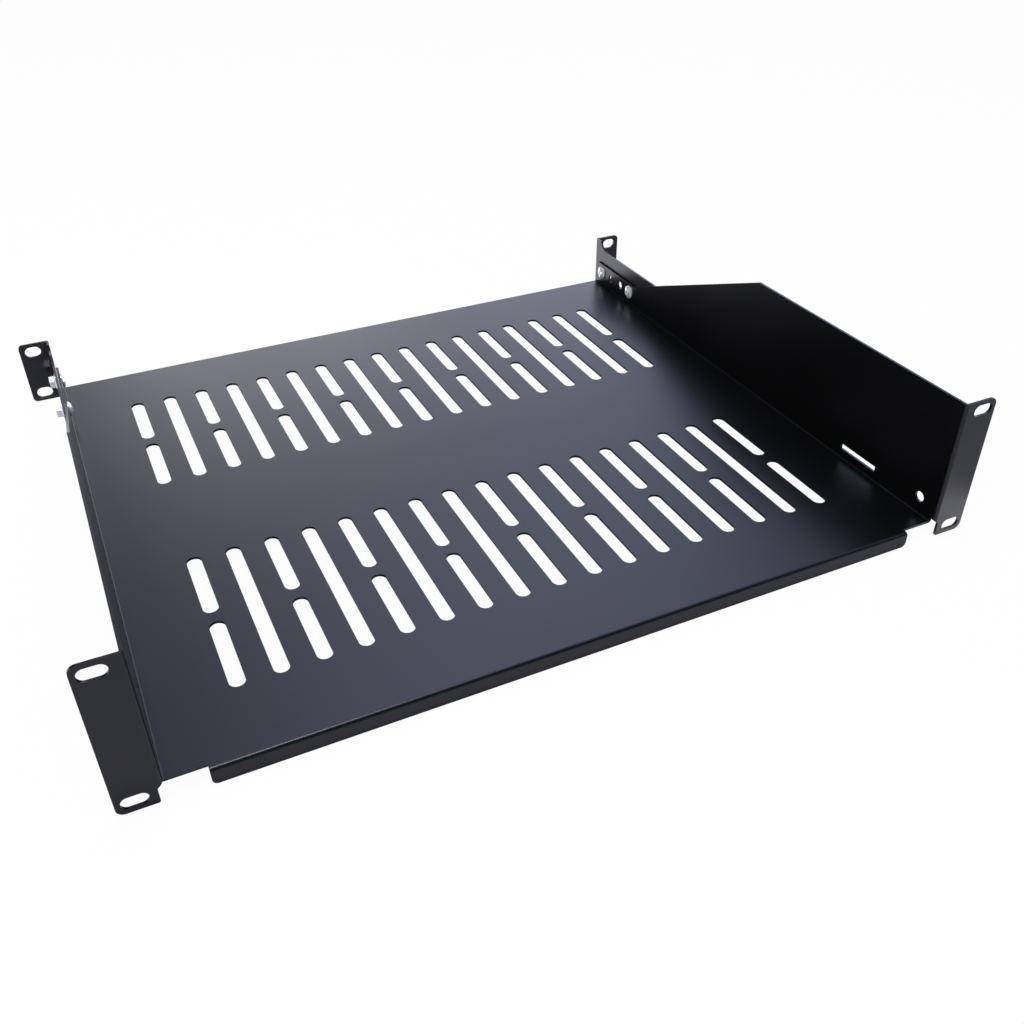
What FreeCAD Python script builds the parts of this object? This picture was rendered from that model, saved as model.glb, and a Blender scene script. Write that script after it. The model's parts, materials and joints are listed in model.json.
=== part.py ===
import FreeCAD, Part
import Sketcher
import math
import os

# Two-unit vented cantilever shelf for a 19-inch rack, with a pair of rear brackets.
#
# Frame, in millimetres: the origin is the centre of the four front fixing holes, on the
# rear face of the ears, which is the face that seats on the rack's rails.  +X is to the
# right seen from the front, +Y runs back into the rack and +Z is up.
#
# Specs such as "-wall_out" name a cell of the Dims sheet, with its sign.

os.makedirs("parts", exist_ok=True)
doc = FreeCAD.newDocument("cantilever_shelf")
dims = doc.addObject("Spreadsheet::Sheet", "Dims")

# Driving dimensions: name, value, meaning.
DRIVING = [
    ("sheet", 1.5, "steel sheet of the shelf and the brackets"),
    ("bend_inner", 0.5, "inside radius of every bend"),
    ("ear_span", 482.6, "overall width over the two ears"),
    ("ear_height", 88.0, "height of a two-unit ear"),
    ("ear_hole_span", 465.1, "left to right spacing of the fixing holes"),
    ("ear_hole_rise", 76.2, "spacing of the lowest and highest hole of two units"),
    ("ear_slot_length", 12.5, "fixing slot, end to end"),
    ("ear_slot_width", 7.0, "fixing slot, across"),
    ("ear_corner", 4.0, "radius of an ear's outer corners"),
    ("ear_foot_gap", 1.5, "side wall's outer face to an ear's lower inner edge"),
    ("ear_foot_corner", 1.0, "radius of an ear's lower inner corner"),
    ("shelf_width", 442.0, "width over the side walls"),
    ("shelf_depth", 400.0, "front of the ears to the rear edge of the floor"),
    ("floor_drop", 35.0, "centre of the ears down to the floor's upper face"),
    ("floor_setback", 4.0, "front of the ears to the floor's front edge"),
    ("lip_width", 400.0, "width of the folded front lip"),
    ("lip_drop", 9.5, "floor's upper face to the lower edge of the lip"),
    ("lip_corner", 3.0, "radius of the lip's lower corners"),
    ("wall_full_depth", 185.0, "front of the ears to the end of the full-height wall"),
    ("slope_end_depth", 339.0, "front of the ears to the foot of the wall's slope"),
    ("wall_low", 17.0, "height of the low rear wall over the floor"),
    ("slope_blend", 10.0, "radius at the foot of the slope"),
    ("wall_corner", 1.5, "radius of the wall's other corners"),
    ("relief_foot", 0.5, "corner relief: its foot below the floor's upper face"),
    ("relief_head", 2.5, "corner relief: its head above the floor's upper face"),
    ("vent_width", 8.4, "width of a vent slot"),
    ("vent_long", 112.0, "length of a long vent slot"),
    ("vent_short", 52.0, "length of a short vent slot"),
    ("vent_pitch", 22.0, "side to side spacing of the vent columns"),
    ("vent_columns", 17, "columns in each row; every second one is a long slot"),
    ("vent_front_row", 102.0, "front of the ears to the middle of the front row"),
    ("vent_rear_row", 297.0, "front of the ears to the middle of the rear row"),
    ("fix_hole", 6.5, "diameter of the bracket holes in the walls"),
    ("fix_height", 9.5, "bracket holes over the floor"),
    ("fix_pitch", 15.0, "spacing of the bracket holes"),
    ("fix_count", 4, "bracket holes in each wall"),
    ("fix_margin", 8.0, "rearmost bracket hole to the floor's rear edge"),
    ("side_hole", 6.5, "diameter of the round hole near the front of each wall"),
    ("side_hole_depth", 15.0, "front of the ears to that hole"),
    ("side_hole_height", 10.5, "that hole over the floor"),
    ("tie_length", 31.0, "length of the square-ended slot in each wall"),
    ("tie_height", 3.7, "height of that slot"),
    ("tie_depth", 68.0, "front of the ears to the middle of that slot"),
    ("tie_rise", 7.4, "middle of that slot over the floor"),
    ("rear_depth", 407.0, "front of the ears to the rear face of the bracket flanges"),
    ("rear_height", 44.0, "height of a bracket flange"),
    ("rear_hole_rise", 31.75, "spacing of the outer holes of one unit"),
    ("rear_slot_length", 10.5, "flange slot, end to end"),
    ("rear_slot_width", 7.5, "flange slot, across"),
    ("rear_corner", 3.0, "radius of a flange's outer corners"),
    ("neck", 7.0, "flange's rear face to the furthest reach of the neck's curve"),
    ("neck_blend", 13.0, "radius of the curve from the flange down to the arm"),
    ("arm_height", 29.5, "height of a bracket arm"),
    ("arm_length", 120.0, "front end of an arm to the flange's rear face"),
    ("arm_corner", 4.0, "radius of the arm's front corners"),
    ("arm_slot_width", 6.5, "width of the adjusting slot in the arm"),
    ("arm_slot_run", 80.0, "travel of the adjusting slot, centre to centre"),
    ("screw_radius", 2.5, "M5 screw shank"),
    ("screw_length", 8.0, "screw length below the head"),
    ("head_radius", 5.2, "pan head"),
    ("head_height", 2.8, "pan head"),
    ("head_crown", 8.0, "radius of the head's crown"),
    ("recess_reach", 2.45, "half the span of the cross recess at the crown"),
    ("recess_width", 0.6, "half the width of a wing at the crown"),
    ("recess_tip", 1.1, "half the span of the cross recess at its floor"),
    ("recess_floor", 0.45, "half the width of a wing at the floor"),
    ("recess_depth", 2.2, "depth of the cross recess"),
    ("recess_turn", 25.0, "turn of the cross recess, degrees"),
    ("nut_flats", 8.0, "M5 flange nut, across flats"),
    ("nut_height", 5.0, "flange nut"),
    ("nut_collar_radius", 5.9, "flange of the nut"),
    ("nut_collar_rim", 0.8, "thickness of the nut's flange at its rim"),
    ("nut_collar_root", 1.9, "thickness of the nut's flange at the hexagon"),
    ("nut_bore", 2.55, "bore of the nut"),
    ("nut_chamfer", 0.7, "chamfer on the hexagon's outer corners"),
    ("overcut", 1.0, "how far a cut reaches past the sheet"),
]

# Derived dimensions: name, formula.  Depths are turned into the frame's own Y here.
DERIVED = [
    ("bend_outer", "=bend_inner + sheet"),
    ("ear_front", "=sheet"),
    ("ear_out", "=ear_span / 2"),
    ("ear_top", "=ear_height / 2"),
    ("ear_below", "=ear_height / 2 + overcut"),
    ("ear_hole_x_in", "=ear_hole_span / 2 - (ear_slot_length - ear_slot_width) / 2"),
    ("ear_hole_x_out", "=ear_hole_span / 2 + (ear_slot_length - ear_slot_width) / 2"),
    ("ear_hole_z", "=ear_hole_rise / 2"),
    ("ear_slot_r", "=ear_slot_width / 2"),
    ("wall_out", "=shelf_width / 2"),
    ("wall_in", "=shelf_width / 2 - sheet"),
    ("ear_foot_x", "=shelf_width / 2 + ear_foot_gap"),
    ("relief_x", "=shelf_width / 2 - sheet - relief_foot"),
    ("floor_under", "=floor_drop + sheet"),
    ("floor_front", "=floor_setback - sheet"),
    ("floor_length", "=shelf_depth - floor_setback"),
    ("floor_rear", "=shelf_depth - sheet"),
    ("behind_floor", "=shelf_depth + overcut"),
    ("lip_out", "=lip_width / 2"),
    ("lip_foot", "=floor_drop + lip_drop"),
    ("relief_low_z", "=floor_drop + relief_foot"),
    ("relief_high_z", "=floor_drop - relief_head"),
    ("wall_end_y", "=wall_full_depth - sheet"),
    ("slope_end_y", "=slope_end_depth - sheet"),
    ("low_z", "=floor_drop - wall_low"),
    ("vent_r", "=vent_width / 2"),
    ("vent_first_x", "=vent_pitch * (vent_columns - 1) / 2"),
    ("vent_second_x", "=vent_pitch * (vent_columns - 3) / 2"),
    ("vent_step", "=vent_pitch * 2"),
    ("vent_short_count", "=(vent_columns + 1) / 2"),
    ("vent_long_count", "=(vent_columns - 1) / 2"),
    ("vent_tip", "=(vent_long - vent_width) / 2"),
    ("vent_inner_tip", "=(vent_long + vent_width) / 2 - vent_short"),
    ("front_row_y", "=vent_front_row - sheet"),
    ("rear_row_y", "=vent_rear_row - sheet"),
    ("front_a", "=front_row_y - vent_tip"),
    ("front_b", "=front_row_y - vent_inner_tip"),
    ("front_c", "=front_row_y + vent_inner_tip"),
    ("front_d", "=front_row_y + vent_tip"),
    ("rear_a", "=rear_row_y - vent_tip"),
    ("rear_b", "=rear_row_y - vent_inner_tip"),
    ("rear_c", "=rear_row_y + vent_inner_tip"),
    ("rear_d", "=rear_row_y + vent_tip"),
    ("fix_r", "=fix_hole / 2"),
    ("fix_z", "=floor_drop - fix_height"),
    ("fix_rear_y", "=floor_rear - fix_margin"),
    ("fix_front_y", "=floor_rear - fix_margin - fix_pitch * (fix_count - 1)"),
    ("fix_span", "=fix_pitch * (fix_count - 1)"),
    ("side_hole_r", "=side_hole / 2"),
    ("side_hole_y", "=side_hole_depth - sheet"),
    ("side_hole_z", "=floor_drop - side_hole_height"),
    ("tie_front_y", "=tie_depth - sheet - tie_length / 2"),
    ("tie_rear_y", "=tie_depth - sheet + tie_length / 2"),
    ("tie_low_z", "=floor_drop - tie_rise + tie_height / 2"),
    ("tie_high_z", "=floor_drop - tie_rise - tie_height / 2"),
    ("rear_face", "=rear_depth - sheet"),
    ("rear_front", "=rear_depth - sheet * 2"),
    ("rear_low_hole_z", "=ear_hole_rise / 2"),
    ("rear_high_hole_z", "=ear_hole_rise / 2 - rear_hole_rise"),
    ("rear_mid_z", "=ear_hole_rise / 2 - rear_hole_rise / 2"),
    ("rear_low_z", "=rear_mid_z + rear_height / 2"),
    ("rear_high_z", "=rear_mid_z - rear_height / 2"),
    ("rear_past_low_z", "=rear_low_z + overcut"),
    ("rear_past_high_z", "=rear_high_z - overcut"),
    ("rear_hole_x_in", "=ear_hole_span / 2 - (rear_slot_length - rear_slot_width) / 2"),
    ("rear_hole_x_out", "=ear_hole_span / 2 + (rear_slot_length - rear_slot_width) / 2"),
    ("rear_slot_r", "=rear_slot_width / 2"),
    ("blend_y", "=rear_face - neck - neck_blend"),
    ("arm_out", "=shelf_width / 2 + sheet"),
    ("arm_front_y", "=rear_face - arm_length"),
    ("arm_past_y", "=rear_face - arm_length - overcut"),
    ("arm_low_z", "=rear_mid_z + arm_height / 2"),
    ("arm_high_z", "=rear_mid_z - arm_height / 2"),
    ("blend_low_z", "=arm_low_z + neck_blend"),
    ("blend_high_z", "=arm_high_z - neck_blend"),
    ("arm_slot_r", "=arm_slot_width / 2"),
    ("arm_slot_front_y", "=fix_rear_y - arm_slot_run"),
    ("head_apex_x", "=wall_in - head_height"),
    ("head_rim_x", "=head_apex_x + head_crown - sqrt(head_crown ^ 2 - head_radius ^ 2)"),
    ("screw_end_x", "=wall_in + screw_length"),
    ("recess_floor_x", "=head_apex_x + recess_depth"),
    ("nut_out_x", "=arm_out + nut_height"),
    ("nut_rim_x", "=arm_out + nut_collar_rim"),
    ("nut_root_x", "=arm_out + nut_collar_root"),
    ("nut_flat_r", "=nut_flats / 2"),
    ("nut_corner_r", "=nut_flats / sqrt(3)"),
    ("nut_half_side", "=nut_flats / sqrt(3) / 2"),
    ("nut_past_r", "=nut_flats / sqrt(3) + overcut"),
    ("nut_past_x", "=nut_out_x + overcut"),
    ("nut_chamfer_x", "=nut_out_x - nut_chamfer"),
]

for row, (name, value, meaning) in enumerate(DRIVING, start=1):
    dims.set(f"A{row}", name)
    dims.set(f"B{row}", str(value))
    dims.set(f"C{row}", meaning)
    dims.setAlias(f"B{row}", name)
for row, (name, formula) in enumerate(DERIVED, start=len(DRIVING) + 1):
    dims.set(f"A{row}", name)
    dims.set(f"B{row}", formula)
    dims.setAlias(f"B{row}", name)
doc.recompute()


def number(spec):
    """The value that a spec such as "-wall_out" has now."""
    if spec == "0":
        return 0.0
    if spec.startswith("-"):
        return -float(dims.get(spec[1:]))
    return float(dims.get(spec))


def formula(spec):
    """The expression that ties a property to the sheet."""
    if spec.startswith("-"):
        return "-Dims." + spec[1:]
    return "Dims." + spec


def other_side(spec):
    """The same distance on the other side of the middle plane."""
    return spec[1:] if spec.startswith("-") else "-" + spec


# ---- sketches ----------------------------------------------------------------------

def place_point(sketch, geometry, end, x_spec, y_spec):
    """Dimension one point of a sketch from its origin, each way."""
    for kind, axis, spec in (("DistanceX", -2, x_spec), ("DistanceY", -1, y_spec)):
        value = number(spec)
        if spec == "0":
            sketch.addConstraint(Sketcher.Constraint("PointOnObject", geometry, end, axis))
            continue
        if value < 0:
            ends = (geometry, end, -1, 1)
            spec = other_side(spec)
        else:
            ends = (-1, 1, geometry, end)
        index = sketch.addConstraint(Sketcher.Constraint(kind, *ends, abs(value)))
        sketch.setExpression(f"Constraints[{index}]", formula(spec))


def polygon(sketch, corners):
    """A closed outline through corners given as pairs of specs."""
    first = sketch.GeometryCount
    points = [FreeCAD.Vector(number(x), number(y), 0) for x, y in corners]
    count = len(points)
    for i in range(count):
        sketch.addGeometry(Part.LineSegment(points[i], points[(i + 1) % count]), False)
    for i in range(count):
        joint = (first + i, 2, first + (i + 1) % count, 1)
        sketch.addConstraint(Sketcher.Constraint("Coincident", *joint))
    for i, (x, y) in enumerate(corners):
        place_point(sketch, first + i, 1, x, y)


def circle(sketch, x, y, radius):
    """A circle at (x, y)."""
    centre = FreeCAD.Vector(number(x), number(y), 0)
    shape = Part.Circle(centre, FreeCAD.Vector(0, 0, 1), number(radius))
    item = sketch.addGeometry(shape, False)
    place_point(sketch, item, 3, x, y)
    index = sketch.addConstraint(Sketcher.Constraint("Radius", item, number(radius)))
    sketch.setExpression(f"Constraints[{index}]", formula(radius))


def slot(sketch, x1, y1, x2, y2, radius):
    """A round-ended slot between two end centres."""
    normal = FreeCAD.Vector(0, 0, 1)
    a = FreeCAD.Vector(number(x1), number(y1), 0)
    b = FreeCAD.Vector(number(x2), number(y2), 0)
    r = number(radius)
    turn = math.atan2(b.y - a.y, b.x - a.x)
    across = FreeCAD.Vector(-math.sin(turn), math.cos(turn), 0) * r
    quarter = math.pi / 2
    end_a = Part.ArcOfCircle(Part.Circle(a, normal, r), turn + quarter, turn + 3 * quarter)
    end_b = Part.ArcOfCircle(Part.Circle(b, normal, r), turn - quarter, turn + quarter)
    arc_a = sketch.addGeometry(end_a, False)
    arc_b = sketch.addGeometry(end_b, False)
    side_1 = sketch.addGeometry(Part.LineSegment(a + across, b + across), False)
    side_2 = sketch.addGeometry(Part.LineSegment(a - across, b - across), False)
    joints = (
        (arc_a, 1, side_1, 1),
        (arc_b, 2, side_1, 2),
        (arc_a, 2, side_2, 1),
        (arc_b, 1, side_2, 2),
    )
    for joint in joints:
        sketch.addConstraint(Sketcher.Constraint("Tangent", *joint))
    sketch.addConstraint(Sketcher.Constraint("Equal", arc_a, arc_b))
    place_point(sketch, arc_a, 3, x1, y1)
    place_point(sketch, arc_b, 3, x2, y2)
    index = sketch.addConstraint(Sketcher.Constraint("Radius", arc_a, r))
    sketch.setExpression(f"Constraints[{index}]", formula(radius))


# ---- features ----------------------------------------------------------------------

def origin_item(body, role):
    """A body's own origin plane or axis."""
    for item in body.Origin.OriginFeatures:
        if item.Role == role:
            return item
    raise ValueError(role)


def sketch_on(body, name, role, lift=None):
    """An empty sketch on one origin plane, lifted along the plane's normal."""
    sketch = body.newObject("Sketcher::SketchObject", name)
    sketch.AttachmentSupport = (origin_item(body, role), [""])
    sketch.MapMode = "FlatFace"
    if lift is not None:
        sketch.AttachmentOffset = FreeCAD.Placement(
            FreeCAD.Vector(0, 0, number(lift)), FreeCAD.Rotation()
        )
        sketch.setExpression("AttachmentOffset.Base.z", formula(lift))
    return sketch


def pad(body, name, sketch, length, side="One side", reverse=False):
    """Sheet of one section, as long as the named dimension."""
    feature = body.newObject("PartDesign::Pad", name)
    feature.Profile = sketch
    feature.SideType = side
    feature.Length = number(length)
    feature.setExpression("Length", formula(length))
    feature.Reversed = reverse
    doc.recompute()
    return feature


def cut_through(body, name, sketch):
    """Cut the sketch out of everything before and behind it."""
    before = body.Shape.Volume
    feature = body.newObject("PartDesign::Pocket", name)
    feature.Profile = sketch
    feature.SideType = "Symmetric"
    feature.Type = "ThroughAll"
    doc.recompute()
    assert body.Shape.Volume < before, name
    return feature


X, Y, Z = 0, 1, 2
SIDES = ("", "-")
SAME_PLACE = 0.001


def edges_at(shape, direction, places):
    """Names of the straight edges along one axis that pass through given places."""
    others = [i for i in range(3) if i != direction]
    names = []
    for number_of, edge in enumerate(shape.Edges, start=1):
        if not isinstance(edge.Curve, (Part.Line, Part.LineSegment)):
            continue
        start, end = edge.Vertexes[0].Point, edge.Vertexes[-1].Point
        if any(abs(start[i] - end[i]) > SAME_PLACE for i in others):
            continue
        for place in places:
            if all(abs(start[i] - p) < SAME_PLACE for i, p in zip(others, place)):
                names.append(f"Edge{number_of}")
    return names


def round_edges(body, name, direction, places, radius):
    """Round the straight edges along one axis at the given places."""
    spots = [(number(a), number(b)) for a, b in places]
    names = edges_at(body.Shape, direction, spots)
    assert names, name
    feature = body.newObject("PartDesign::Fillet", name)
    feature.Base = (body.Tip if body.Tip != feature else feature.BaseFeature, names)
    feature.Radius = number(radius)
    feature.setExpression("Radius", formula(radius))
    doc.recompute()
    return feature


def repeat(body, name, original, role, count, step):
    """Repeat a cut or a pad along one of the body's axes."""
    pattern = body.newObject("PartDesign::LinearPattern", name)
    pattern.Originals = [original]
    pattern.Direction = (origin_item(body, role), [""])
    pattern.Mode = "Spacing"
    pattern.Offset = number(step)
    pattern.setExpression("Offset", formula(step))
    pattern.Occurrences = int(number(count))
    pattern.setExpression("Occurrences", formula(count))
    body.Tip = pattern
    doc.recompute()
    return pattern


def new_body(name):
    """An empty body whose label is the name of its node."""
    body = doc.addObject("PartDesign::Body", name)
    body.Label = name
    return body


# ---- the folded shelf --------------------------------------------------------------

tray = new_body("shelf_tray")

# Floor and side walls are one channel, which starts behind the ears' bends.
channel = sketch_on(tray, "channel_section", "XZ_Plane", "-floor_front")
polygon(channel, [
    ("-wall_out", "ear_top"),
    ("-wall_out", "-floor_under"),
    ("wall_out", "-floor_under"),
    ("wall_out", "ear_top"),
    ("wall_in", "ear_top"),
    ("wall_in", "-floor_drop"),
    ("-wall_in", "-floor_drop"),
    ("-wall_in", "ear_top"),
])
pad(tray, "channel", channel, "floor_length", reverse=True)
round_edges(tray, "channel_bend_inside", Y,
            [(s + "wall_in", "-floor_drop") for s in SIDES], "bend_inner")
round_edges(tray, "channel_bend_outside", Y,
            [(s + "wall_out", "-floor_under") for s in SIDES], "bend_outer")

# The walls keep their full height for the first half, then slope down to a low rear.
wall_cut = sketch_on(tray, "wall_outline", "YZ_Plane")
polygon(wall_cut, [
    ("wall_end_y", "ear_top"),
    ("slope_end_y", "-low_z"),
    ("behind_floor", "-low_z"),
    ("behind_floor", "ear_top"),
])
cut_through(tray, "wall_slope", wall_cut)
round_edges(tray, "slope_foot", X, [("slope_end_y", "-low_z")], "slope_blend")
round_edges(tray, "wall_corners", X,
            [("wall_end_y", "ear_top"), ("floor_rear", "-low_z")], "wall_corner")

# Each ear folds outwards from the front of its wall.
ears = sketch_on(tray, "ear_section", "XY_Plane", "-ear_top")
for s in SIDES:
    polygon(ears, [
        (s + "ear_out", "-ear_front"),
        (s + "ear_out", "0"),
        (s + "wall_out", "0"),
        (s + "wall_out", "floor_front"),
        (s + "wall_in", "floor_front"),
        (s + "wall_in", "-ear_front"),
    ])
pad(tray, "ears", ears, "ear_height")
round_edges(tray, "ear_bend_outside", Z,
            [(s + "wall_in", "-ear_front") for s in SIDES], "bend_outer")
round_edges(tray, "ear_bend_inside", Z,
            [(s + "wall_out", "0") for s in SIDES], "bend_inner")

# Below the floor only the flat of the ear goes on; a relief frees the folded corner.
relief = sketch_on(tray, "corner_relief_outline", "XZ_Plane", "-floor_front")
for s in SIDES:
    polygon(relief, [
        (s + "ear_foot_x", "-ear_below"),
        (s + "ear_foot_x", "-relief_low_z"),
        (s + "relief_x", "-relief_high_z"),
        (s + "relief_x", "-ear_below"),
    ])
RELIEF_SHARE_LIMIT = 0.01
whole = tray.Shape.Volume
corner_relief = tray.newObject("PartDesign::Pocket", "corner_relief")
corner_relief.Profile = relief
corner_relief.Type = "ThroughAll"
corner_relief.Reversed = True
doc.recompute()
assert 0 < whole - tray.Shape.Volume < whole * RELIEF_SHARE_LIMIT, "corner_relief"
round_edges(tray, "ear_corners", Y,
            [(s + "ear_out", t + "ear_top") for s in SIDES for t in SIDES], "ear_corner")
round_edges(tray, "ear_foot_corners", Y,
            [(s + "ear_foot_x", "-ear_top") for s in SIDES], "ear_foot_corner")

# The front lip folds down between the two notches that clear the ears.
lip = sketch_on(tray, "lip_section", "YZ_Plane")
polygon(lip, [
    ("floor_front", "-floor_drop"),
    ("-ear_front", "-floor_drop"),
    ("-ear_front", "-lip_foot"),
    ("0", "-lip_foot"),
    ("0", "-floor_under"),
    ("floor_front", "-floor_under"),
])
pad(tray, "lip", lip, "lip_width", side="Symmetric")
round_edges(tray, "lip_bend_outside", X, [("-ear_front", "-floor_drop")], "bend_outer")
round_edges(tray, "lip_bend_inside", X, [("0", "-floor_under")], "bend_inner")
round_edges(tray, "lip_corners", Y,
            [(s + "lip_out", "-lip_foot") for s in SIDES], "lip_corner")

# Fixing slots in the ears, on the rack's own spacing.
ear_slots = sketch_on(tray, "ear_slot_outline", "XZ_Plane")
for s in SIDES:
    for t in SIDES:
        slot(ear_slots, s + "ear_hole_x_in", t + "ear_hole_z",
             s + "ear_hole_x_out", t + "ear_hole_z", "ear_slot_r")
cut_through(tray, "ear_slots", ear_slots)

# Bracket holes, a round hole and a square-ended slot in both walls.
fix_holes = sketch_on(tray, "bracket_hole_outline", "YZ_Plane")
circle(fix_holes, "fix_front_y", "-fix_z", "fix_r")
first_fix = cut_through(tray, "bracket_hole", fix_holes)
repeat(tray, "bracket_holes", first_fix, "Y_Axis", "fix_count", "fix_pitch")
side_holes = sketch_on(tray, "side_hole_outline", "YZ_Plane")
circle(side_holes, "side_hole_y", "-side_hole_z", "side_hole_r")
polygon(side_holes, [
    ("tie_front_y", "-tie_low_z"),
    ("tie_rear_y", "-tie_low_z"),
    ("tie_rear_y", "-tie_high_z"),
    ("tie_front_y", "-tie_high_z"),
])
cut_through(tray, "side_holes", side_holes)

# Vents: columns of two short slots alternate with columns of one long slot, in two rows.
short_vents = sketch_on(tray, "short_vent_outline", "XY_Plane")
for row in ("front", "rear"):
    for a, b in (("_a", "_b"), ("_c", "_d")):
        slot(short_vents, "-vent_first_x", row + a, "-vent_first_x", row + b, "vent_r")
first_short = cut_through(tray, "short_vent_column", short_vents)
repeat(tray, "short_vents", first_short, "X_Axis", "vent_short_count", "vent_step")
long_vents = sketch_on(tray, "long_vent_outline", "XY_Plane")
for row in ("front", "rear"):
    slot(long_vents, "-vent_second_x", row + "_a", "-vent_second_x", row + "_d", "vent_r")
first_long = cut_through(tray, "long_vent_column", long_vents)
repeat(tray, "long_vents", first_long, "X_Axis", "vent_long_count", "vent_step")


# ---- rear brackets -----------------------------------------------------------------

def rear_bracket(name, s):
    """An arm outside one wall that turns outwards into a one-unit flange."""
    body = new_body(name)
    section = sketch_on(body, "section", "XY_Plane", "-rear_low_z")
    polygon(section, [
        (s + "wall_out", "arm_front_y"),
        (s + "arm_out", "arm_front_y"),
        (s + "arm_out", "rear_front"),
        (s + "ear_out", "rear_front"),
        (s + "ear_out", "rear_face"),
        (s + "wall_out", "rear_face"),
    ])
    pad(body, "blank", section, "rear_height")
    round_edges(body, "bend_outside", Z, [(s + "wall_out", "rear_face")], "bend_outer")
    round_edges(body, "bend_inside", Z, [(s + "arm_out", "rear_front")], "bend_inner")

    # The arm is narrower than the flange; one curve at the top and one at the bottom
    # lead from the arm's edge to the flange's.
    outline = sketch_on(body, "arm_outline", "YZ_Plane")
    for edge, past in (("-arm_high_z", "-rear_past_high_z"), ("-arm_low_z", "-rear_past_low_z")):
        polygon(outline, [
            ("arm_past_y", edge),
            ("blend_y", edge),
            ("blend_y", past),
            ("arm_past_y", past),
        ])
    cut_through(body, "arm", outline)
    curves = sketch_on(body, "neck_outline", "YZ_Plane")
    for centre in ("-blend_high_z", "-blend_low_z"):
        circle(curves, "blend_y", centre, "neck_blend")
    cut_through(body, "neck", curves)
    round_edges(body, "arm_corners", X,
                [("arm_front_y", "-arm_high_z"), ("arm_front_y", "-arm_low_z")], "arm_corner")
    round_edges(body, "flange_corners", Y,
                [(s + "ear_out", "-rear_high_z"), (s + "ear_out", "-rear_low_z")],
                "rear_corner")

    # Flange slots on the rack's spacing, and the adjusting slot along the arm.
    holes = sketch_on(body, "flange_slot_outline", "XZ_Plane")
    for z in ("-rear_low_hole_z", "-rear_high_hole_z"):
        slot(holes, s + "rear_hole_x_in", z, s + "rear_hole_x_out", z, "rear_slot_r")
    cut_through(body, "flange_slots", holes)
    travel = sketch_on(body, "adjusting_slot_outline", "YZ_Plane")
    slot(travel, "arm_slot_front_y", "-fix_z", "fix_rear_y", "-fix_z", "arm_slot_r")
    cut_through(body, "adjusting_slot", travel)
    return body


brackets = [
    rear_bracket("rear_bracket_left", "-"),
    rear_bracket("rear_bracket_right", ""),
]


# ---- fasteners ---------------------------------------------------------------------

def axis_sketch(body, name, role, lift_spec=None, turn=0.0):
    """A sketch whose origin lies on the axis of the front right screw."""
    sketch = sketch_on(body, name, role)
    height = other_side("fix_z")
    if role == "XY_Plane":
        base = {"y": "fix_front_y", "z": height}
    else:
        base = {"x": "fix_front_y", "y": height, "z": lift_spec}
    offset = FreeCAD.Vector()
    for letter, spec in base.items():
        setattr(offset, letter, number(spec))
    spin = FreeCAD.Rotation(FreeCAD.Vector(0, 0, 1), turn)
    sketch.AttachmentOffset = FreeCAD.Placement(offset, spin)
    for letter, spec in base.items():
        sketch.setExpression(f"AttachmentOffset.Base.{letter}", formula(spec))
    return sketch


def turned(body, kind, name, sketch):
    """Revolve a sketch about its own horizontal axis, as a solid or as a cut."""
    feature = body.newObject("PartDesign::" + kind, name)
    feature.Profile = sketch
    feature.ReferenceAxis = (sketch, ["H_Axis"])
    feature.Angle = 360.0
    doc.recompute()
    return feature


def to_all_four(body):
    """Copy the finished fastener to the rear hole and to the other side."""
    group = body.newObject("PartDesign::MultiTransform", "all_four")
    group.TransformMode = "Whole shape"
    back = body.newObject("PartDesign::LinearPattern", "to_rear_hole")
    back.Direction = (origin_item(body, "Y_Axis"), [""])
    back.Mode = "Extent"
    back.Length = number("fix_span")
    back.setExpression("Length", formula("fix_span"))
    back.Occurrences = 2
    across = body.newObject("PartDesign::Mirrored", "to_left_side")
    across.MirrorPlane = (origin_item(body, "YZ_Plane"), [""])
    group.Transformations = [back, across]
    body.Tip = group
    doc.recompute()


def cross(sketch, reach, width):
    """The twelve-cornered outline of a cross recess."""
    r, w = reach, width
    quarter = [(r, "-" + w), (r, w), (w, w), (w, r), ("-" + w, r), ("-" + w, w)]
    opposite = [(other_side(x), other_side(y)) for x, y in quarter]
    polygon(sketch, quarter + opposite)


screws = new_body("bracket_screws")
head = axis_sketch(screws, "screw_profile", "XY_Plane")
crown_centre = FreeCAD.Vector(number("head_apex_x") + number("head_crown"), 0, 0)
crown_turn = math.asin(number("head_radius") / number("head_crown"))
crown_circle = Part.Circle(crown_centre, FreeCAD.Vector(0, 0, 1), number("head_crown"))
crown = head.addGeometry(
    Part.ArcOfCircle(crown_circle, math.pi - crown_turn, math.pi), False
)
outline = [
    ("head_rim_x", "head_radius"),
    ("wall_in", "head_radius"),
    ("wall_in", "screw_radius"),
    ("screw_end_x", "screw_radius"),
    ("screw_end_x", "0"),
    ("head_apex_x", "0"),
]
for (x1, y1), (x2, y2) in zip(outline, outline[1:]):
    start = FreeCAD.Vector(number(x1), number(y1), 0)
    end = FreeCAD.Vector(number(x2), number(y2), 0)
    head.addGeometry(Part.LineSegment(start, end), False)
last = len(outline) - 1
for i in range(1, last):
    head.addConstraint(Sketcher.Constraint("Coincident", i, 2, i + 1, 1))
head.addConstraint(Sketcher.Constraint("Coincident", crown, 1, 1, 1))
head.addConstraint(Sketcher.Constraint("Coincident", crown, 2, last, 2))
for i, (x, y) in enumerate(outline[1:], start=1):
    place_point(head, i, 2, x, y)
head.addConstraint(Sketcher.Constraint("PointOnObject", crown, 3, -1))
for kind, ends, spec in (
    ("Radius", (crown,), "head_crown"),
    ("DistanceY", (-1, 1, 1, 1), "head_radius"),
):
    index = head.addConstraint(Sketcher.Constraint(kind, *ends, number(spec)))
    head.setExpression(f"Constraints[{index}]", formula(spec))
turned(screws, "Revolution", "screw", head)

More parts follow.
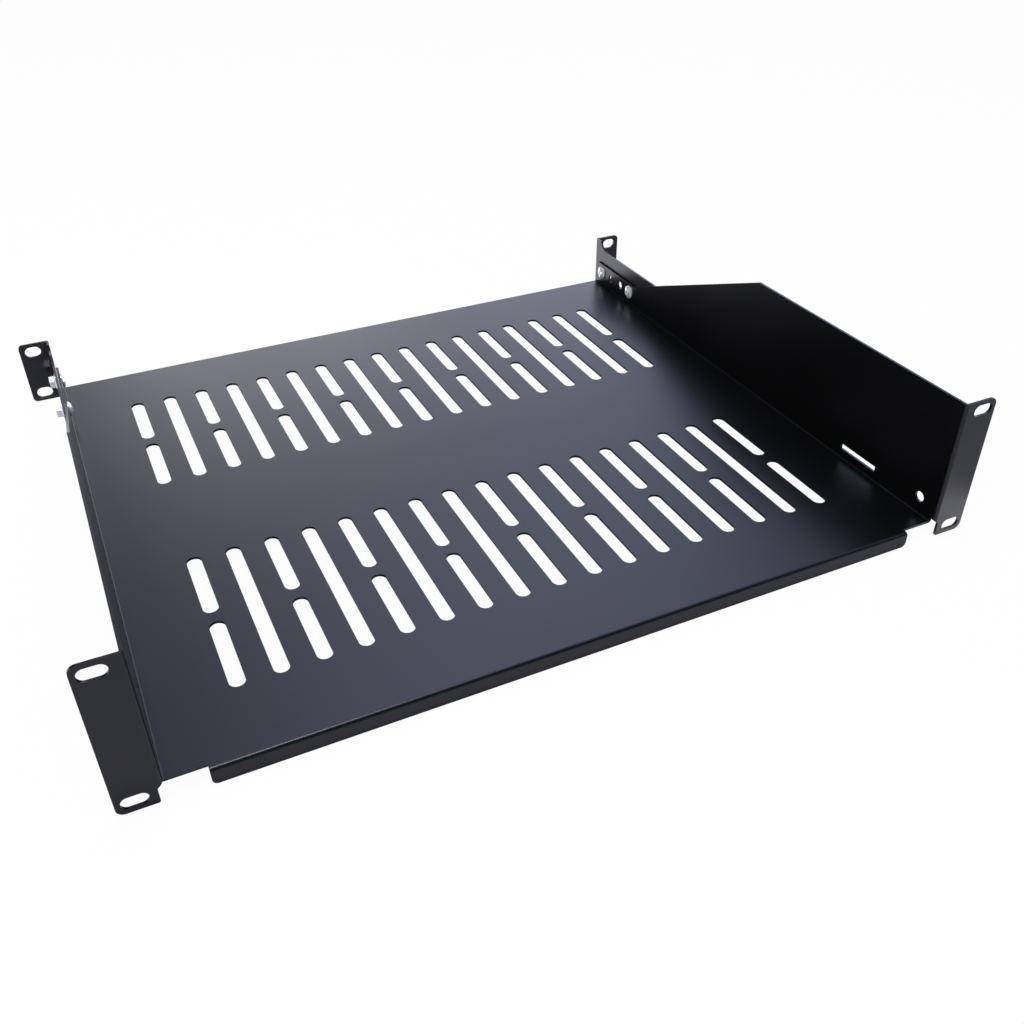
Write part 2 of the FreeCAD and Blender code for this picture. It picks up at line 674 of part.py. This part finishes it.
# The cross recess narrows to its floor.
turn = number("recess_turn")
mouth = axis_sketch(screws, "recess_mouth", "YZ_Plane", "head_apex_x", turn)
cross(mouth, "recess_reach", "recess_width")
floor = axis_sketch(screws, "recess_floor_outline", "YZ_Plane", "recess_floor_x", turn)
cross(floor, "recess_tip", "recess_floor")
recess = screws.newObject("PartDesign::SubtractiveLoft", "cross_recess")
recess.Profile = mouth
recess.Sections = [floor]
doc.recompute()
to_all_four(screws)

nuts = new_body("bracket_nuts")
hexagon = axis_sketch(nuts, "nut_hexagon", "YZ_Plane", "arm_out")
polygon(hexagon, [
    ("nut_flat_r", "-nut_half_side"),
    ("nut_flat_r", "nut_half_side"),
    ("0", "nut_corner_r"),
    ("-nut_flat_r", "nut_half_side"),
    ("-nut_flat_r", "-nut_half_side"),
    ("0", "-nut_corner_r"),
])
pad(nuts, "nut_body", hexagon, "nut_height")
collar = axis_sketch(nuts, "nut_collar_profile", "XY_Plane")
polygon(collar, [
    ("arm_out", "nut_bore"),
    ("arm_out", "nut_collar_radius"),
    ("nut_rim_x", "nut_collar_radius"),
    ("nut_root_x", "nut_flat_r"),
    ("nut_root_x", "nut_bore"),
])
turned(nuts, "Revolution", "nut_collar", collar)
trim = axis_sketch(nuts, "nut_chamfer_profile", "XY_Plane")
polygon(trim, [
    ("nut_out_x", "nut_flat_r"),
    ("nut_chamfer_x", "nut_past_r"),
    ("nut_past_x", "nut_past_r"),
    ("nut_past_x", "nut_flat_r"),
])
turned(nuts, "Groove", "nut_chamfer_cut", trim)
bore = axis_sketch(nuts, "nut_bore_outline", "YZ_Plane", "arm_out")
circle(bore, "0", "0", "nut_bore")
cut_through(nuts, "nut_bore_cut", bore)
to_all_four(nuts)

# ---- checks and export -------------------------------------------------------------

doc.recompute()
for item in doc.Objects:
    bad = [state for state in item.State if state in ("Invalid", "Error")]
    assert not bad, (item.Label, item.State)
for body in [tray] + brackets + [screws, nuts]:
    shape = body.Shape
    assert not shape.isNull() and shape.isValid(), body.Label
    shape.exportStep(f"parts/{body.Label}.step")
    box = shape.BoundBox
    print(body.Label, len(shape.Solids), "solids", round(shape.Volume, 1), "mm3",
          [round(v, 2) for v in (box.XMin, box.YMin, box.ZMin, box.XMax, box.YMax, box.ZMax)])
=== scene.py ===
import json
import math

import bpy
from mathutils import Matrix, Vector


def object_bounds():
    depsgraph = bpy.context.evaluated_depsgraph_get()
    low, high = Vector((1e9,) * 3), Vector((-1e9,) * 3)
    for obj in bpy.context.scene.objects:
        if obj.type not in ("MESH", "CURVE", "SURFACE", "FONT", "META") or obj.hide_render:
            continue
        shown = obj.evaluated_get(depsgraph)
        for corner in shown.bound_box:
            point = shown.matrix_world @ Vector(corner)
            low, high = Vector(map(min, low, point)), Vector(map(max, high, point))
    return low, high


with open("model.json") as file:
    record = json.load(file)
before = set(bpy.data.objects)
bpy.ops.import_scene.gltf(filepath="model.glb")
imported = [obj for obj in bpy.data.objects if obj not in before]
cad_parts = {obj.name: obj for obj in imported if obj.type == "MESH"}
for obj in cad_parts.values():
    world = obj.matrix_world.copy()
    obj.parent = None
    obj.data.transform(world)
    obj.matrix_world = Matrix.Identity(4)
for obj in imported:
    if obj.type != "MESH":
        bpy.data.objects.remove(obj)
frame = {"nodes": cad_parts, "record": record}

cad_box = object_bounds()

# The shelf is whole in the CAD, so this scene adds no piece to it: only finishes for its
# nodes, a floor, a room and two lamps.  Lengths are in metres and colours are linear.

# ---- camera --------------------------------------------------------------------------
# It looks down on the shelf from its front left, close by with a fairly wide lens.

CAMERA_PLACE = Vector((-0.20771, -0.33420, 0.32048))
CAMERA_AZIMUTH = math.radians(-25.14)
CAMERA_ELEVATION = math.radians(35.47)
CAMERA_ROLL = math.radians(-0.51)
CAMERA_LENS_MM = 36.227
SENSOR_MM = 36.0
CLIP_NEAR = 0.01
CLIP_FAR = 50.0


def aim(place, azimuth, elevation, roll):
    """Matrix of a camera that stands at an azimuth and elevation and looks back down."""
    forward = Vector((
        -math.sin(azimuth) * math.cos(elevation),
        math.cos(azimuth) * math.cos(elevation),
        -math.sin(elevation),
    ))
    level = forward.cross(Vector((0, 0, 1))).normalized()
    right = Matrix.Rotation(-roll, 3, forward) @ level
    up = right.cross(forward)
    turn = Matrix((right, up, -forward)).transposed()
    return Matrix.Translation(place) @ turn.to_4x4()


camera_data = bpy.data.cameras.new("camera")
camera_data.sensor_width = SENSOR_MM
camera_data.lens = CAMERA_LENS_MM
camera_data.clip_start = CLIP_NEAR
camera_data.clip_end = CLIP_FAR
camera = bpy.data.objects.new("camera", camera_data)
camera.matrix_world = aim(CAMERA_PLACE, CAMERA_AZIMUTH, CAMERA_ELEVATION, CAMERA_ROLL)
bpy.context.scene.collection.objects.link(camera)
bpy.context.scene.camera = camera
bpy.context.scene.view_settings.view_transform = "Standard"


# ---- node trees ----------------------------------------------------------------------

WHITE = (1.0, 1.0, 1.0)

# The sockets of a Mix node that are for colours.
MIX_FIRST = 6
MIX_SECOND = 7
MIX_RESULT = 2


class Nodes:
    """A short way to fill a node tree."""

    def __init__(self, tree):
        self.tree = tree
        self.tree.nodes.clear()

    def add(self, kind, **settings):
        """A node with its settings."""
        node = self.tree.nodes.new(kind)
        for name, value in settings.items():
            setattr(node, name, value)
        return node

    def put(self, node, socket, value):
        """Set one input of a node, or link it when the value is an output."""
        target = node.inputs[socket]
        if isinstance(value, bpy.types.NodeSocket):
            self.tree.links.new(value, target)
        elif target.type == "RGBA":
            target.default_value = (*value, 1.0)
        else:
            target.default_value = value

    def math(self, operation, first, second):
        """A sum, product or the like of two numbers."""
        node = self.add("ShaderNodeMath", operation=operation)
        self.put(node, 0, first)
        self.put(node, 1, second)
        return node.outputs[0]

    def measure(self, operation, first, second):
        """A number from two vectors, such as their distance."""
        node = self.add("ShaderNodeVectorMath", operation=operation)
        self.put(node, 0, first)
        self.put(node, 1, second)
        return node.outputs["Value"]

    def place(self):
        """The place on the object, in its own metres."""
        return self.add("ShaderNodeTexCoord").outputs["Object"]

    def split(self, vector):
        """The X, Y and Z of a place or direction."""
        node = self.add("ShaderNodeSeparateXYZ")
        self.put(node, 0, vector)
        return node.outputs

    def noise(self, scale, detail, roughness=0.5):
        """Noise over the object."""
        node = self.add("ShaderNodeTexNoise")
        self.put(node, "Vector", self.place())
        self.put(node, "Scale", scale)
        self.put(node, "Detail", detail)
        self.put(node, "Roughness", roughness)
        return node.outputs["Fac"]

    def spread(self, value, low, high, from_low=0.3, from_high=0.7, curve="LINEAR"):
        """Map a value to low and high, from the range where noise mostly lies or another."""
        node = self.add("ShaderNodeMapRange", interpolation_type=curve)
        self.put(node, "Value", value)
        self.put(node, "From Min", from_low)
        self.put(node, "From Max", from_high)
        self.put(node, "To Min", low)
        self.put(node, "To Max", high)
        return node.outputs["Result"]

    def blend(self, share, first, second):
        """Mix two colours."""
        node = self.add("ShaderNodeMix", data_type="RGBA")
        self.put(node, 0, share)
        self.put(node, MIX_FIRST, first)
        self.put(node, MIX_SECOND, second)
        return node.outputs[MIX_RESULT]

    def bump(self, height, strength, distance):
        """A bump from a height."""
        node = self.add("ShaderNodeBump")
        self.put(node, "Height", height)
        self.put(node, "Strength", strength)
        self.put(node, "Distance", distance)
        return node.outputs["Normal"]

    def light(self, kind, colour, strength):
        """An emission or background shader."""
        node = self.add(kind)
        self.put(node, "Color", colour)
        self.put(node, "Strength", strength)
        return node.outputs[0]

    def choose(self, share, first, second):
        """Mix two shaders."""
        node = self.add("ShaderNodeMixShader")
        self.put(node, 0, share)
        self.put(node, 1, first)
        self.put(node, 2, second)
        return node.outputs[0]

    def surface(self, **inputs):
        """The object's shader; underscores in names stand for spaces."""
        shader = self.add("ShaderNodeBsdfPrincipled")
        for name, value in inputs.items():
            self.put(shader, name.replace("_", " "), value)
        self.finish("ShaderNodeOutputMaterial", shader.outputs["BSDF"])

    def finish(self, kind, shader):
        """The output node of a material or world."""
        self.put(self.add(kind), "Surface", shader)


def new_material(name):
    """A material and its empty node tree."""
    material = bpy.data.materials.new(name)
    material.use_nodes = True
    return material, Nodes(material.node_tree)


def stage_seen(n, rays):
    """1 where the camera sees the stage, straight or through something clear, else 0."""
    return n.math("MAXIMUM", rays.outputs["Is Camera Ray"], rays.outputs["Is Transmission Ray"])


# ---- finishes ------------------------------------------------------------------------

COAT_DARK = (0.0006, 0.0006, 0.0007)
COAT_LIGHT = (0.0012, 0.0012, 0.0013)
COAT_ROUGHNESS = (0.29, 0.33)
COAT_CLOUD_SCALE = 14.0
COAT_IOR = 1.5
PEEL_SCALE = 2600.0
PEEL_STRENGTH = 0.12
PEEL_HEIGHT = 0.00004

ZINC_DULL = (0.88, 0.88, 0.89)
ZINC_BRIGHT = (0.98, 0.98, 0.98)
ZINC_METALLIC = 0.5
ZINC_ROUGHNESS = (0.10, 0.18)
ZINC_CLOUD_SCALE = 900.0
ZINC_CLOUD_STRENGTH = 0.15
ZINC_CLOUD_HEIGHT = 0.00003


def powder_coat():
    """Black satin powder coat with a fine even orange peel."""
    material, n = new_material("powder_coat")
    peel = n.noise(PEEL_SCALE, detail=3.0, roughness=0.6)
    cloud = n.noise(COAT_CLOUD_SCALE, detail=3.0)
    n.surface(
        Base_Color=n.blend(n.spread(peel, 0.0, 1.0), COAT_DARK, COAT_LIGHT),
        Roughness=n.spread(cloud, *COAT_ROUGHNESS),
        IOR=COAT_IOR,
        Normal=n.bump(peel, PEEL_STRENGTH, PEEL_HEIGHT),
    )
    return material


def zinc():
    """Bright zinc plate on the screws and nuts, slightly milky and clouded."""
    material, n = new_material("zinc_steel")
    cloud = n.noise(ZINC_CLOUD_SCALE, detail=4.0, roughness=0.6)
    n.surface(
        Base_Color=n.blend(n.spread(cloud, 0.0, 1.0), ZINC_DULL, ZINC_BRIGHT),
        Metallic=ZINC_METALLIC,
        Roughness=n.spread(cloud, *ZINC_ROUGHNESS),
        Normal=n.bump(cloud, ZINC_CLOUD_STRENGTH, ZINC_CLOUD_HEIGHT),
    )
    return material


FINISH = {"powder_coat": powder_coat(), "zinc_steel": zinc()}
slot_of = {part["node"]: part["material_slot"] for part in frame["record"]["subparts"]}
for name, node in frame["nodes"].items():
    node.data.materials.clear()
    node.data.materials.append(FINISH[slot_of[name]])

# ---- floor ---------------------------------------------------------------------------
# It lies just under the shelf.  In what gloss reflects it has painted light: a glow, from no
# lamp, from the shelf's back edge on and in a round spot by the front right corner.

FLOOR_Z = cad_box[0][2] - 0.0001
FLOOR_HALF = 6.0
STAGE_WHITE = 0.96
FLOOR_PAINT = ((0.62, 0.63, 0.75), (0.66, 0.67, 0.79))
FLOOR_SEEN = (0.95, 0.95, 0.95)
FLOOR_CLOUD_SCALE = 3.0

SHELF_FRONT = cad_box[0][1]
SHELF_BACK = cad_box[1][1]
SHELF_RIGHT = cad_box[1][0]
# Painted light on the floor, seen only in reflections: a glow behind the shelf and a round
# spot.
LIT_FROM_Y = SHELF_BACK - 0.0155
LIT_TO_Y = SHELF_BACK + 0.0145
PAINTED_GLOW_BEHIND = 1.30
SPOT_PLACE = (SHELF_RIGHT + 0.0087, SHELF_FRONT - 0.0085, FLOOR_Z)
SPOT_INNER = 0.015
SPOT_OUTER = 0.042
PAINTED_SPOT_GLOW = 0.90


def floor_paint(n, rays):
    """Pale paint that is plain white to the camera but for a faint shadow."""
    cloud = n.noise(FLOOR_CLOUD_SCALE, detail=2.0)
    pale = n.blend(n.spread(cloud, 0.0, 1.0), *FLOOR_PAINT)
    paint = n.add("ShaderNodeBsdfDiffuse")
    n.put(paint, "Color", n.blend(rays.outputs["Is Camera Ray"], pale, FLOOR_SEEN))
    glow = n.light("ShaderNodeEmission", WHITE, 1.0)
    share = n.math("MULTIPLY", stage_seen(n, rays), STAGE_WHITE)
    return n.choose(share, paint.outputs["BSDF"], glow)


# Painted light: a glow from no lamp, which gives painted highlights in the gloss that reflects
# it.
def floor_painted_glow(n, rays):
    """Painted glow that only gloss finds on the floor, behind the shelf and in a spot by the
    front right corner.
    """
    y = n.split(n.place())["Y"]
    behind = n.spread(y, 0.0, PAINTED_GLOW_BEHIND, LIT_FROM_Y, LIT_TO_Y, "SMOOTHSTEP")
    away = n.measure("DISTANCE", n.place(), SPOT_PLACE)
    spot = n.spread(away, PAINTED_SPOT_GLOW, 0.0, SPOT_INNER, SPOT_OUTER, "SMOOTHSTEP")
    strength = n.math("MULTIPLY", n.math("ADD", behind, spot), rays.outputs["Is Glossy Ray"])
    return n.light("ShaderNodeEmission", WHITE, strength)


def floor_material():
    """The floor's paint and its painted glow, added."""
    material, n = new_material("white_floor")
    rays = n.add("ShaderNodeLightPath")
    both = n.add("ShaderNodeAddShader")
    n.put(both, 0, floor_paint(n, rays))
    n.put(both, 1, floor_painted_glow(n, rays))
    n.finish("ShaderNodeOutputMaterial", both.outputs["Shader"])
    return material


def level_square(half, z):
    """The corners of a level square about the Z axis."""
    corners = [(-1, -1), (1, -1), (1, 1), (-1, 1)]
    return [(x * half, y * half, z) for x, y in corners]


floor_mesh = bpy.data.meshes.new("floor")
floor_mesh.from_pydata(level_square(FLOOR_HALF, FLOOR_Z), [], [(0, 1, 2, 3)])
floor_mesh.materials.append(floor_material())
floor = bpy.data.objects.new("floor", floor_mesh)
bpy.context.scene.collection.objects.link(floor)

# ---- room ----------------------------------------------------------------------------
# The room is even to matt surfaces and white to the camera.  What gloss reflects is a
# bright room with a high panel behind the shelf, more light below a level line there and
# most in a low panel, dark curtains to the left, the right and in front, and over the left
# one a panel that the round screw heads catch.  Panels and curtains are soft-edged discs of
# directions: azimuth from the back towards the right, elevation, inner and outer radius,
# all in degrees, and strength.

ROOM_LIGHT = 0.50
ROOM_GLOSS = 0.86
HIGH_PANEL = (30.0, 47.0, 6.0, 18.0, 1.13)
LEVEL_LINE = math.radians(28.4)
LEVEL_SOFT = 0.02
BELOW_LINE = 1.06
LOW_PANEL = (8.0, 24.0, 5.0, 13.0, 0.95)
LEFT_CURTAIN = (-60.0, 12.0, 52.0, 62.3, 0.94)
RIGHT_CURTAIN = (75.0, 25.0, 22.0, 38.0, 0.30)
FRONT_CURTAIN = (180.0, 25.0, 45.0, 65.0, 0.85)
SIDE_PANEL = (-105.0, 50.0, 14.0, 26.0, 2.60)

# The gloss is plain straight behind the shelf, and cooler away from there.
COOL = (0.82, 0.95, 1.34)
PLAIN = (0.97, 0.98, 1.09)
COOL_BELOW_Y = 0.70
PLAIN_ABOVE_Y = 0.90


def soft_disc(n, direction, azimuth, elevation, inner, outer, strength):
    """Strength inside a disc of directions, fading to nothing at its outer radius."""
    a = math.radians(azimuth)
    e = math.radians(elevation)
    centre = (math.sin(a) * math.cos(e), math.cos(a) * math.cos(e), math.sin(e))
    facing = n.measure("DOT_PRODUCT", direction, centre)
    edges = (math.cos(math.radians(outer)), math.cos(math.radians(inner)))
    return n.spread(facing, 0.0, strength, *edges, "SMOOTHSTEP")


def room_gloss(n, direction):
    """How bright the room is to gloss, by direction."""
    line = (0.0, -math.sin(LEVEL_LINE), math.cos(LEVEL_LINE))
    above = n.measure("DOT_PRODUCT", direction, line)
    below = n.spread(above, 1.0, 0.0, -LEVEL_SOFT, LEVEL_SOFT, "SMOOTHSTEP")
    low_light = n.math("ADD", BELOW_LINE, soft_disc(n, direction, *LOW_PANEL))
    gloss = n.math("ADD", ROOM_GLOSS, soft_disc(n, direction, *HIGH_PANEL))
    gloss = n.math("ADD", gloss, n.math("MULTIPLY", below, low_light))
    for curtain in (LEFT_CURTAIN, RIGHT_CURTAIN, FRONT_CURTAIN):
        open_share = n.math("SUBTRACT", 1.0, soft_disc(n, direction, *curtain))
        gloss = n.math("MULTIPLY", gloss, open_share)
    return n.math("ADD", gloss, soft_disc(n, direction, *SIDE_PANEL))


def studio_world():
    """The room as a world."""
    world = bpy.data.worlds.new("studio")
    world.use_nodes = True
    n = Nodes(world.node_tree)
    rays = n.add("ShaderNodeLightPath")
    direction = n.add("ShaderNodeTexCoord").outputs["Generated"]
    straight = n.spread(n.split(direction)["Y"], 0.0, 1.0, COOL_BELOW_Y, PLAIN_ABOVE_Y)
    tint = n.blend(straight, COOL, PLAIN)
    shine = n.light("ShaderNodeBackground", tint, room_gloss(n, direction))
    strength = n.spread(stage_seen(n, rays), ROOM_LIGHT, 1.0, 0.0, 1.0)
    plain = n.light("ShaderNodeBackground", WHITE, strength)
    either = n.choose(rays.outputs["Is Glossy Ray"], plain, shine)
    n.finish("ShaderNodeOutputWorld", either)
    return world


bpy.context.scene.world = studio_world()

# ---- lamps ---------------------------------------------------------------------------
# Place, target, width, height and power in watts.

LAMPS = {
    "top_light": ((-0.10, 0.22, 1.60), (0.0, 0.10, 0.0), 0.50, 0.40, 8.5),
    "key_light": ((-1.90, -0.40, 1.50), (0.0, 0.20, 0.0), 1.20, 1.20, 20.0),
}


def lamp(name, place, target, width, height, power):
    """A soft rectangular lamp aimed at a point."""
    data = bpy.data.lights.new(name, "AREA")
    data.shape = "RECTANGLE"
    data.size = width
    data.size_y = height
    data.energy = power
    thing = bpy.data.objects.new(name, data)
    thing.location = place
    thing.rotation_euler = (Vector(target) - Vector(place)).to_track_quat("-Z", "Y").to_euler()
    bpy.context.scene.collection.objects.link(thing)


for name, settings in LAMPS.items():
    lamp(name, *settings)
